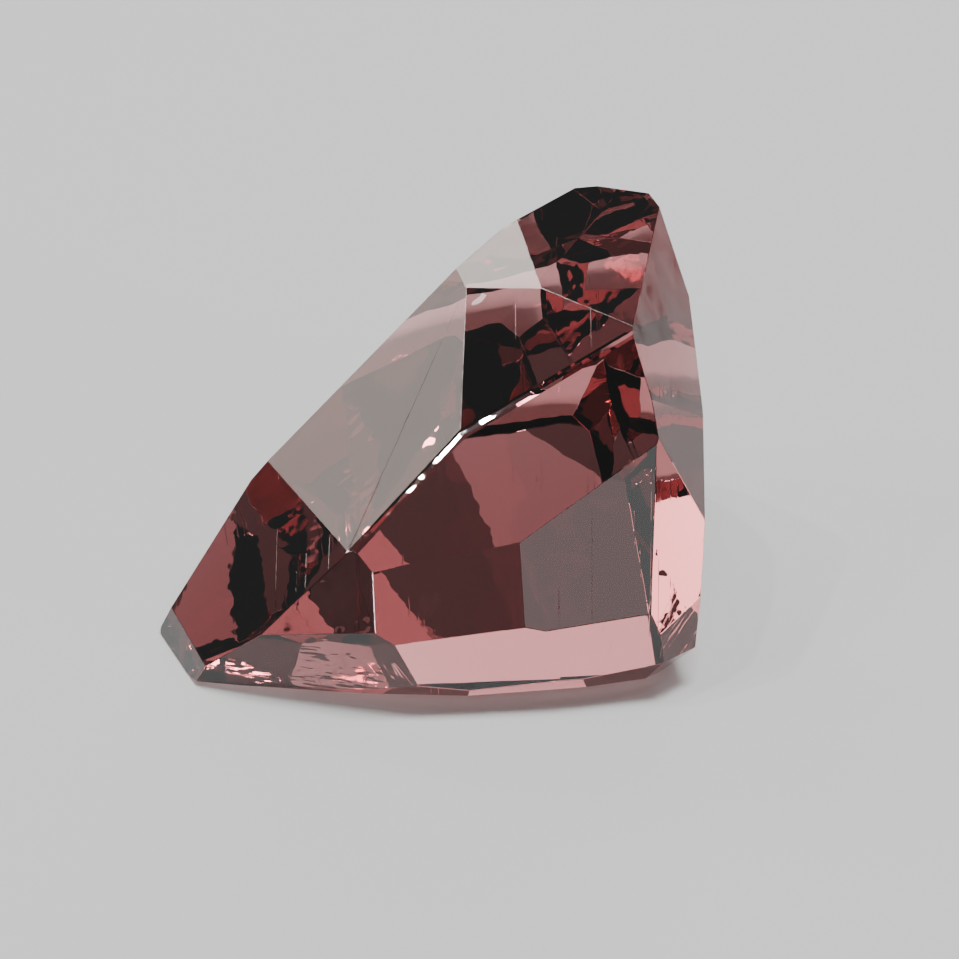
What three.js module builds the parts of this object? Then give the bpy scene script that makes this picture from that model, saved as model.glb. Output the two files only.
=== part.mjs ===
// A loose cut garnet, lying table down: one transparent stone, ground with forty-five flat facets.
// It is cut by hand to keep weight, so its deep keel leans to the back right and no two facets match.
// Millimetres, +Z up, front towards -Y, origin under the middle of the stone on the surface it rests on.

import * as THREE from 'three';

const garnetColour = 0x54161c;
const polishedRoughness = 0.06;

// A facet is [facing, tilt, reach]. Facing is the side that it looks to, in degrees: 0 is the front,
// 90 the right, 180 the back and -90 the left. Tilt is how far it looks up (+) or down (-), in degrees.
// Reach is how far the facet stands off one point inside the table, in millimetres.

// The table is the large flat face that the stone rests on. The front of it is ground a little higher.
const tableFacets = [
  [180, -90, 0],
  [4, -82, 0.4],
];

// The crown is the thin row that slopes in to the table, from the left front round to the left back.
const crownFacets = [
  [-10.5, -48, 2.85],
  [-4, -48, 2.8],
  [10.5, -48.5, 2.8],
  [19.5, -46.5, 3.05],
  [48.5, -45.5, 3.35],
  [98, -46, 2.05],
  [120, -46, 2.75],
  [170, -46, 3.1],
  [-165, -46, 2.45],
  [-142, -46, 2.15],
  [-114, -46, 2.45],
];

// The girdle is the upright band round the widest part, in long flats.
const girdleFacets = [
  [-72, 21.5, 4.6],
  [-17, -5.5, 4.6],
  [5.5, 6.5, 4.75],
  [13, 8.5, 4.9],
  [50, 10.5, 5.47],
  [94, -6.5, 3.8],
  [97, -10, 3.5],
  [101, -10, 3.4],
  [-177, 3, 4.65],
  [-132, 4, 3.45],
  [-110, 3, 3.8],
];

// Short facets break the step from the girdle up to the large faces of the pavilion.
const breakFacets = [
  [-22.5, 26.5, 4.85],
  [3, 29.5, 4.7],
  [11.5, 29.5, 4.8],
  [47.5, 20, 5.45],
  [73, 26, 5.45],
];

// The large pavilion facets run up to the keel, and the nearly level ones lie along the top of it.
const pavilionFacets = [
  [-70.5, 45, 3.7],
  [-0.5, 44, 4.6],
  [76.5, 30.5, 5.55],
  [-71, 55.5, 3.6],
  [-57, 67, 4.12],
  [-64.5, 71, 4.35],
  [-60.5, 74.5, 4.55],
];

// The facets on the far side fall away from the keel to the girdle at the back.
const farFacets = [
  [108, 7.5, 4.9],
  [110, 0, 4.4],
  [148, 24, 6.3],
  [170, 22, 5.75],
  [-168, 14, 4.33],
  [-154, 18, 3.93],
  [-140, 27.5, 3.8],
  [-122, 30.5, 3.25],
  [-108, 26, 3.55],
];

function facetPlane([facing, tilt, reach]) {
  const turn = THREE.MathUtils.degToRad(facing);
  const lean = THREE.MathUtils.degToRad(tilt);
  const outward = new THREE.Vector3(
    Math.sin(turn) * Math.cos(lean),
    -Math.cos(turn) * Math.cos(lean),
    Math.sin(lean),
  );
  return new THREE.Plane(outward, -reach);
}

// The point where three facet planes cross, or null where two of them are parallel.
function crossing(first, second, third) {
  const across = new THREE.Vector3().crossVectors(second.normal, third.normal);
  const volume = first.normal.dot(across);
  const nearlyParallel = 1e-6;
  if (Math.abs(volume) < nearlyParallel) {
    return null;
  }
  const point = across.multiplyScalar(-first.constant);
  point.addScaledVector(new THREE.Vector3().crossVectors(third.normal, first.normal), -second.constant);
  point.addScaledVector(new THREE.Vector3().crossVectors(first.normal, second.normal), -third.constant);
  return point.divideScalar(volume);
}

// Every corner of the stone is a crossing of three facets that no other facet cuts away.
function stoneCorners(planes) {
  const slack = 1e-7;
  const corners = [];
  for (let i = 0; i < planes.length; i += 1) {
    for (let j = i + 1; j < planes.length; j += 1) {
      for (let k = j + 1; k < planes.length; k += 1) {
        const point = crossing(planes[i], planes[j], planes[k]);
        if (point && planes.every((plane) => plane.distanceToPoint(point) < slack)) {
          corners.push({ point, facets: [i, j, k] });
        }
      }
    }
  }
  return corners;
}

// A facet's corners in order round its middle, anticlockwise as seen from outside.
function facetOutline(plane, points) {
  const middle = new THREE.Vector3();
  points.forEach((point) => middle.addScaledVector(point, 1 / points.length));
  const across = new THREE.Vector3().subVectors(points[0], middle).normalize();
  const along = new THREE.Vector3().crossVectors(plane.normal, across);
  const angle = (point) => {
    const arm = new THREE.Vector3().subVectors(point, middle);
    return Math.atan2(arm.dot(along), arm.dot(across));
  };
  return [...points].sort((a, b) => angle(a) - angle(b));
}

function cutStone(facets) {
  const planes = facets.map(facetPlane);
  const corners = stoneCorners(planes);
  const positions = [];
  planes.forEach((plane, index) => {
    const own = corners.filter((corner) => corner.facets.includes(index));
    if (own.length < 3) {
      throw new Error(`facet ${facets[index]} is cut away`);
    }
    const outline = facetOutline(plane, own.map((corner) => corner.point));
    for (let i = 1; i + 1 < outline.length; i += 1) {
      positions.push(...outline[0], ...outline[i], ...outline[i + 1]);
    }
  });
  const geometry = new THREE.BufferGeometry();
  geometry.setAttribute('position', new THREE.Float32BufferAttribute(positions, 3));
  geometry.computeVertexNormals();
  return geometry;
}

// Moves the stone sideways until its middle is over the origin.
function centreOver(geometry) {
  geometry.computeBoundingBox();
  const middle = geometry.boundingBox.getCenter(new THREE.Vector3());
  return geometry.translate(-middle.x, -middle.y, 0);
}

const facets = [
  ...tableFacets,
  ...crownFacets,
  ...girdleFacets,
  ...breakFacets,
  ...pavilionFacets,
  ...farFacets,
];

const garnet = new THREE.MeshStandardMaterial({
  name: 'garnet',
  color: garnetColour,
  roughness: polishedRoughness,
  metalness: 0,
});

const stone = new THREE.Mesh(centreOver(cutStone(facets)), garnet);
stone.name = 'cut_garnet';

const group = new THREE.Group();
group.add(stone);

export default group;
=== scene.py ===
import math

import bmesh
import bpy
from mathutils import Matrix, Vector


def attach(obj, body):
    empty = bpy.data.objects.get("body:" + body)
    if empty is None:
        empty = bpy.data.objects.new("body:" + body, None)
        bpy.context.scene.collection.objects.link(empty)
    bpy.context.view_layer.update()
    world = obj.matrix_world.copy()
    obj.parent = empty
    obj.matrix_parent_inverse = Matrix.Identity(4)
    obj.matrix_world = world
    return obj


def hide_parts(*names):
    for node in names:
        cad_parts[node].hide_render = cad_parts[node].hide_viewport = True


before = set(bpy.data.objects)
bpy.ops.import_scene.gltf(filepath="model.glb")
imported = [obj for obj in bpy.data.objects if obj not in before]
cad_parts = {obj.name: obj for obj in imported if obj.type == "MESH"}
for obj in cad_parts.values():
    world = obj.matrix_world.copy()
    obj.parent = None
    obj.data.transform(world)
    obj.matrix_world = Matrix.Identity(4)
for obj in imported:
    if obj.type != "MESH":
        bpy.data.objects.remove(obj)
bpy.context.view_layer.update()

mm = 0.001

# The stone: one loose cut garnet, a transparent brownish-red crystal lying on its flat table.
# Each facet is ground flat and polished by hand, so the edges are crisp but very finely rounded,
# and the faces keep hair-fine polishing scratches, slight waves and a little dust.
keel_rounding = 0.10 * mm
other_rounding_share = 0.1
rounding_steps = 3
same_corner = 0.002 * mm
same_facet = math.radians(0.2)
stone_tint = (0.96, 0.80, 0.79, 1.0)
garnet_ior = 1.76
body_colour = (0.74, 0.24, 0.27, 1.0)
body_density = 210.0


def polished_stone(node_name):
    """A fresh mesh of the stone with flat facets, marked for how far each edge is rounded."""
    mesh = bpy.data.meshes.new("polished_garnet")
    piece = bpy.data.objects.new("polished_garnet", mesh)
    bpy.context.scene.collection.objects.link(piece)
    work = bmesh.new()
    work.from_mesh(bpy.data.objects[node_name].data)
    bmesh.ops.remove_doubles(work, verts=work.verts, dist=same_corner)
    bmesh.ops.dissolve_limit(work, angle_limit=same_facet, verts=work.verts, edges=work.edges)
    bmesh.ops.recalc_face_normals(work, faces=work.faces)
    # The front edges of the keel lie between a facet that looks up and forwards and a nearly level one.
    forwards = 0.6
    upwards = 0.6
    nearly_level = 0.8
    weights = work.edges.layers.float.new("bevel_weight_edge")
    for edge in work.edges:
        slopes = sorted((face.normal.y, face.normal.z) for face in edge.link_faces)
        faces_front = slopes[0][0] < -forwards and slopes[0][1] > upwards
        lies_flat = slopes[1][1] > nearly_level
        edge[weights] = 1.0 if faces_front and lies_flat else other_rounding_share
    for face in work.faces:
        face.smooth = False
    work.to_mesh(mesh)
    work.free()
    if "custom_normal" in mesh.attributes:
        mesh.attributes.remove(mesh.attributes["custom_normal"])
    return piece


stone = polished_stone("cut_garnet")
rounding = stone.modifiers.new("fine edges", "BEVEL")
rounding.width = keel_rounding
rounding.segments = rounding_steps
rounding.limit_method = "WEIGHT"
# With the clamp on, the stone's shortest edges would shrink the rounding of every edge.
rounding.use_clamp_overlap = False


def wear_group():
    """Fine polishing scratches and dust as masks, and a height for the bump."""
    group = bpy.data.node_groups.new("Polished wear", "ShaderNodeTree")
    inputs = (
        ("Scratch Scale", 900.0),
        ("Scratch Amount", 0.3),
        ("Dust Scale", 4000.0),
        ("Dust Amount", 0.2),
    )
    for name, start in inputs:
        socket = group.interface.new_socket(name, in_out="INPUT", socket_type="NodeSocketFloat")
        socket.default_value = start
    for name in ("Scratches", "Dust", "Height"):
        group.interface.new_socket(name, in_out="OUTPUT", socket_type="NodeSocketFloat")
    nodes = group.nodes
    links = group.links
    into = nodes.new("NodeGroupInput")
    out = nodes.new("NodeGroupOutput")
    place = nodes.new("ShaderNodeTexCoord")

    # Scratches run in three directions. Each is a noise drawn out to lines, kept where it crosses its middle.
    directions = ((0.25, 70.0), (-0.9, 90.0), (1.7, 80.0))
    tilt_shares = (0.5, 0.6)
    line_detail = 2.0
    line_roughness = 0.6
    line_middle = 0.5
    line_starts = 0.497
    line_ends = 0.503
    total = None
    for turn, stretch in directions:
        lay = nodes.new("ShaderNodeMapping")
        lay.inputs["Rotation"].default_value = (turn * tilt_shares[0], turn * tilt_shares[1], turn)
        lay.inputs["Scale"].default_value = (1.0, 1.0 / stretch, 1.0 / stretch)
        links.new(place.outputs["Object"], lay.inputs["Vector"])
        grain = nodes.new("ShaderNodeTexNoise")
        grain.inputs["Detail"].default_value = line_detail
        grain.inputs["Roughness"].default_value = line_roughness
        links.new(lay.outputs["Vector"], grain.inputs["Vector"])
        links.new(into.outputs["Scratch Scale"], grain.inputs["Scale"])
        line = nodes.new("ShaderNodeValToRGB")
        line.color_ramp.elements[0].position = line_starts
        line.color_ramp.elements[0].color = (0, 0, 0, 1)
        line.color_ramp.elements[1].position = line_ends
        line.color_ramp.elements[1].color = (0, 0, 0, 1)
        peak = line.color_ramp.elements.new(line_middle)
        peak.color = (1, 1, 1, 1)
        links.new(grain.outputs["Fac"], line.inputs["Fac"])
        if total is None:
            total = line.outputs["Color"]
            continue
        join = nodes.new("ShaderNodeMath")
        join.operation = "MAXIMUM"
        links.new(total, join.inputs[0])
        links.new(line.outputs["Color"], join.inputs[1])
        total = join.outputs["Value"]

    # The scratches lie in patches, with clean facet between them.
    patch_scale = 420.0
    patch_detail = 1.0
    patch_starts = 0.50
    patch_full = 0.66
    patch = nodes.new("ShaderNodeTexNoise")
    patch.inputs["Scale"].default_value = patch_scale
    patch.inputs["Detail"].default_value = patch_detail
    links.new(place.outputs["Object"], patch.inputs["Vector"])
    where = nodes.new("ShaderNodeMapRange")
    where.inputs["From Min"].default_value = patch_starts
    where.inputs["From Max"].default_value = patch_full
    links.new(patch.outputs["Fac"], where.inputs["Value"])
    some = nodes.new("ShaderNodeMath")
    some.operation = "MULTIPLY"
    links.new(total, some.inputs[0])
    links.new(where.outputs["Result"], some.inputs[1])
    scratches = nodes.new("ShaderNodeMath")
    scratches.operation = "MULTIPLY"
    links.new(some.outputs["Value"], scratches.inputs[0])
    links.new(into.outputs["Scratch Amount"], scratches.inputs[1])

    # Dust is a small round speck in a few of the cells of a cell pattern.
    speck_edge = 0.16
    speck_core = 0.06
    bare_cells = 0.93
    specks = nodes.new("ShaderNodeTexVoronoi")
    links.new(place.outputs["Object"], specks.inputs["Vector"])
    links.new(into.outputs["Dust Scale"], specks.inputs["Scale"])
    near = nodes.new("ShaderNodeMapRange")
    near.inputs["From Min"].default_value = speck_edge
    near.inputs["From Max"].default_value = speck_core
    links.new(specks.outputs["Distance"], near.inputs["Value"])
    dust = nodes.new("ShaderNodeMath")
    dust.operation = "MULTIPLY"
    apart = nodes.new("ShaderNodeSeparateColor")
    links.new(specks.outputs["Color"], apart.inputs["Color"])
    few = nodes.new("ShaderNodeMath")
    few.operation = "GREATER_THAN"
    few.inputs[1].default_value = bare_cells
    links.new(apart.outputs["Red"], few.inputs[0])
    sparse = nodes.new("ShaderNodeMath")
    sparse.operation = "MULTIPLY"
    links.new(near.outputs["Result"], sparse.inputs[0])
    links.new(few.outputs["Value"], sparse.inputs[1])
    links.new(sparse.outputs["Value"], dust.inputs[0])
    links.new(into.outputs["Dust Amount"], dust.inputs[1])

    depth = nodes.new("ShaderNodeMath")
    depth.operation = "SUBTRACT"
    depth.inputs[0].default_value = 1.0
    links.new(scratches.outputs["Value"], depth.inputs[1])
    links.new(scratches.outputs["Value"], out.inputs["Scratches"])
    links.new(dust.outputs["Value"], out.inputs["Dust"])
    links.new(depth.outputs["Value"], out.inputs["Height"])
    return group


def garnet_material():
    """Clear, polished garnet: light is tinted a little at the surface and absorbed in the body."""
    polished_roughness = 0.012
    scratch_roughness = 0.25
    dust_colour = (0.55, 0.50, 0.48, 1.0)
    scratch_strength = 0.15
    scratch_depth = 0.01 * mm
    wave_scale = 520.0
    wave_detail = 3.0
    wave_strength = 1.0
    wave_height = 0.018 * mm
    material = bpy.data.materials.new("polished garnet")
    material.use_nodes = True
    nodes = material.node_tree.nodes
    links = material.node_tree.links
    surface = nodes["Principled BSDF"]
    output = nodes["Material Output"]
    surface.inputs["Metallic"].default_value = 0.0
    surface.inputs["Transmission Weight"].default_value = 1.0
    surface.inputs["IOR"].default_value = garnet_ior
    wear = nodes.new("ShaderNodeGroup")
    wear.node_tree = wear_group()
    finish = nodes.new("ShaderNodeMath")
    finish.operation = "MULTIPLY_ADD"
    finish.inputs[1].default_value = scratch_roughness
    finish.inputs[2].default_value = polished_roughness
    links.new(wear.outputs["Scratches"], finish.inputs[0])
    links.new(finish.outputs["Value"], surface.inputs["Roughness"])
    tint = nodes.new("ShaderNodeMix")
    tint.data_type = "RGBA"
    tint.inputs["A"].default_value = stone_tint
    tint.inputs["B"].default_value = dust_colour
    links.new(wear.outputs["Dust"], tint.inputs["Factor"])
    links.new(tint.outputs["Result"], surface.inputs["Base Color"])
    relief = nodes.new("ShaderNodeBump")
    relief.inputs["Strength"].default_value = scratch_strength
    relief.inputs["Distance"].default_value = scratch_depth
    links.new(wear.outputs["Height"], relief.inputs["Height"])
    hand_wave = nodes.new("ShaderNodeTexNoise")
    hand_wave.inputs["Scale"].default_value = wave_scale
    hand_wave.inputs["Detail"].default_value = wave_detail
    spot = nodes.new("ShaderNodeTexCoord")
    links.new(spot.outputs["Object"], hand_wave.inputs["Vector"])
    polish = nodes.new("ShaderNodeBump")
    polish.inputs["Strength"].default_value = wave_strength
    polish.inputs["Distance"].default_value = wave_height
    links.new(hand_wave.outputs["Fac"], polish.inputs["Height"])
    links.new(relief.outputs["Normal"], polish.inputs["Normal"])
    links.new(polish.outputs["Normal"], surface.inputs["Normal"])
    body = nodes.new("ShaderNodeVolumeAbsorption")
    body.inputs["Color"].default_value = body_colour
    body.inputs["Density"].default_value = body_density
    links.new(body.outputs["Volume"], output.inputs["Volume"])
    return material


stone.data.materials.clear()
stone.data.materials.append(garnet_material())
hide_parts("cut_garnet")
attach(stone, "root")

# The stage: a plain pale floor, which isn't part of the object.
floor_side = 1.2
floor_gap = 0.01 * mm
floor_colour = (0.62, 0.63, 0.625, 1.0)
floor_roughness = 0.7
bpy.ops.mesh.primitive_plane_add(size=floor_side, location=(0, 0, -floor_gap))
floor = bpy.context.object
floor.name = "floor"
plain = bpy.data.materials.new("pale floor")
plain.use_nodes = True
plain.node_tree.nodes["Principled BSDF"].inputs["Base Color"].default_value = floor_colour
plain.node_tree.nodes["Principled BSDF"].inputs["Roughness"].default_value = floor_roughness
floor.data.materials.append(plain)

# The camera looks as in the photo: straight at the front and 25 degrees down, with a long lens.
look_at = Vector((0.795, -1.435, 2.68)) * mm
view_elevation = math.radians(25)
view_distance = 150 * mm
view_width = 15.72 * mm
film_width = 36
nearest_seen = 1 * mm
eye = bpy.data.cameras.new("camera")
camera = bpy.data.objects.new("camera", eye)
bpy.context.scene.collection.objects.link(camera)
towards_eye = Vector((0, -math.cos(view_elevation), math.sin(view_elevation)))
camera.location = look_at + towards_eye * view_distance
camera.rotation_euler = (math.radians(90) - view_elevation, 0, 0)
eye.sensor_width = film_width
eye.lens = eye.sensor_width * view_distance / view_width
eye.clip_start = nearest_seen
bpy.context.scene.camera = camera

# Soft studio light: a pale surround and a broad lamp above, with lamps round the stone that each
# light a few facets. Two very small ones make the glints on the rounded front of the keel.
surround_colour = (0.80, 0.81, 0.81, 1.0)
surround_strength = 0.17
world = bpy.data.worlds.new("studio")
bpy.context.scene.world = world
world.use_nodes = True
world.node_tree.nodes["Background"].inputs["Color"].default_value = surround_colour
world.node_tree.nodes["Background"].inputs["Strength"].default_value = surround_strength


def softbox(name, facing, elevation, distance, size, power, colour=(1, 1, 1)):
    """A square lamp aimed at the stone: facing and elevation in degrees, metres and watts."""
    lamp = bpy.data.lights.new(name, "AREA")
    lamp.size = size
    lamp.energy = power
    lamp.color = colour
    holder = bpy.data.objects.new(name, lamp)
    bpy.context.scene.collection.objects.link(holder)
    turn = math.radians(facing)
    rise = math.radians(elevation)
    way = Vector((math.sin(turn) * math.cos(rise), -math.cos(turn) * math.cos(rise), math.sin(rise)))
    holder.location = look_at + way * distance
    holder.rotation_euler = (-way).to_track_quat("-Z", "Y").to_euler()


softbox("top lamp", 90, 78, 0.40, 0.16, 1.80)
softbox("far left lamp", -139, 24, 0.40, 0.09, 0.060, (1.0, 0.87, 0.81))
softbox("bright back lamp", -153.5, 32, 0.40, 0.095, 0.16, (1.0, 0.95, 0.90))
softbox("low back lamp", 170, 14, 0.40, 0.19, 0.25, (0.90, 1.0, 1.0))
softbox("high back lamp", 166, 50, 0.40, 0.07, 0.006)
softbox("right lamp", 112, 28, 0.40, 0.08, 0.008)
softbox("front right lamp", 30, 33, 0.40, 0.12, 0.05)
softbox("keel glint lamp, upper", -111, 72, 0.30, 0.005, 0.10, (0.88, 0.94, 1.0))
softbox("keel glint lamp, lower", -106, 61, 0.30, 0.005, 0.10, (1.0, 0.97, 0.86))

# Small lamps round the stone, as in a showcase, which make the red and white sparks inside it.
spark_places = [(-98, 26), (66, 56), (-68, 44), (48, 14), (-6, 32)]
spark_distance = 0.30
spark_size = 0.020
spark_power = 0.055
for number, (facing, elevation) in enumerate(spark_places, start=1):
    softbox("spark lamp %d" % number, facing, elevation, spark_distance, spark_size, spark_power)
